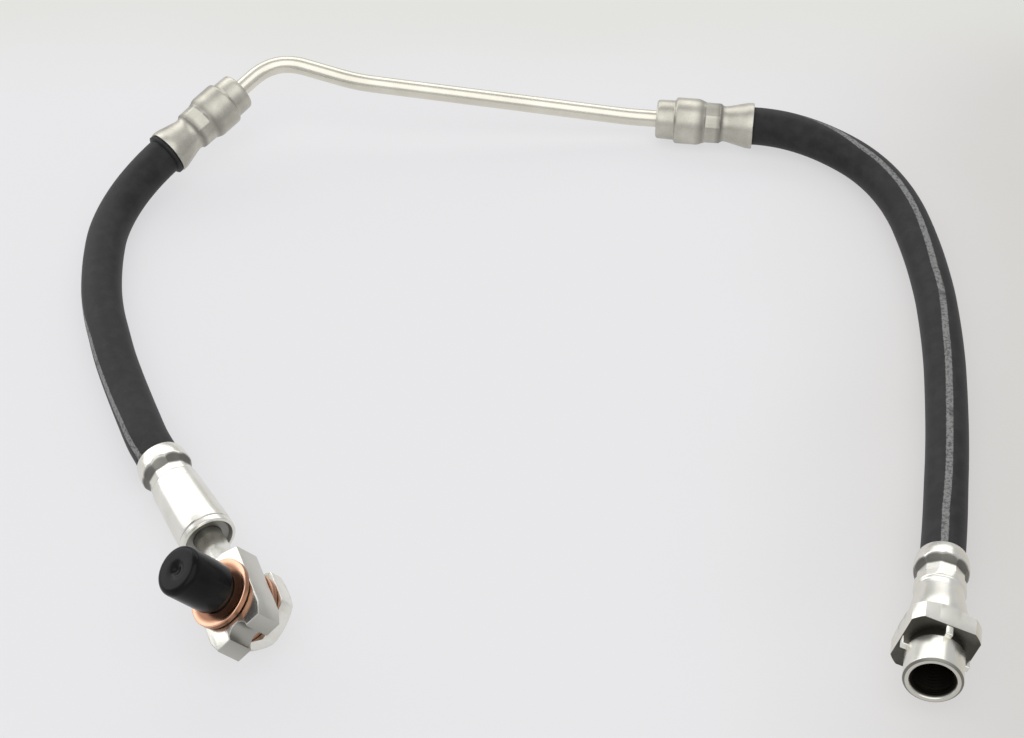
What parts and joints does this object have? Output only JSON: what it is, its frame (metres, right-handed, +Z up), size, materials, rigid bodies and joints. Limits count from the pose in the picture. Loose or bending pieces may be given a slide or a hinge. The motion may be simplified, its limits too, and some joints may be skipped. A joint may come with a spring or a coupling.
{
  "type": "brake hose",
  "caption": "Flexible brake line: rubber hoses joined by a bent steel pipe, with a banjo fitting, hollow bolt and copper washers at one end and a female port with a square flange at the other.",
  "frame": {"origin": "middle of the metal pieces' outline as the hose lies, on the surface that it lies on", "axes": "+Z up from that surface; the link pipe runs about along X, and both hoses run towards -Y, the banjo's on the -X side and the female port's on the +X side"},
  "size_m": [0.2285, 0.212, 0.0302],
  "materials": {
    "plated_steel": "zinc-nickel plated steel, satin bright and slightly warm",
    "pipe_steel": "plated steel tube, smooth satin",
    "copper": "bare annealed copper, satin",
    "hose_rubber": "matte black rubber with a soft sheen and a printed grey line",
    "cap_vinyl": "glossy black dipped vinyl"
  },
  "bodies": {
    "root": {"banjo_ferrule": "plated_steel", "left_pipe_ferrule": "plated_steel", "left_pipe_nipple": "plated_steel", "right_pipe_ferrule": "plated_steel", "right_pipe_nipple": "plated_steel", "port_ferrule": "plated_steel", "female_port": "plated_steel", "banjo_bolt": "plated_steel", "banjo_fitting": "plated_steel", "link_pipe": "pipe_steel", "front_copper_washer": "copper", "rear_copper_washer": "copper", "bolt_cap": "cap_vinyl", "left_hose": "hose_rubber", "right_hose": "hose_rubber"}
  },
  "joints": []
}
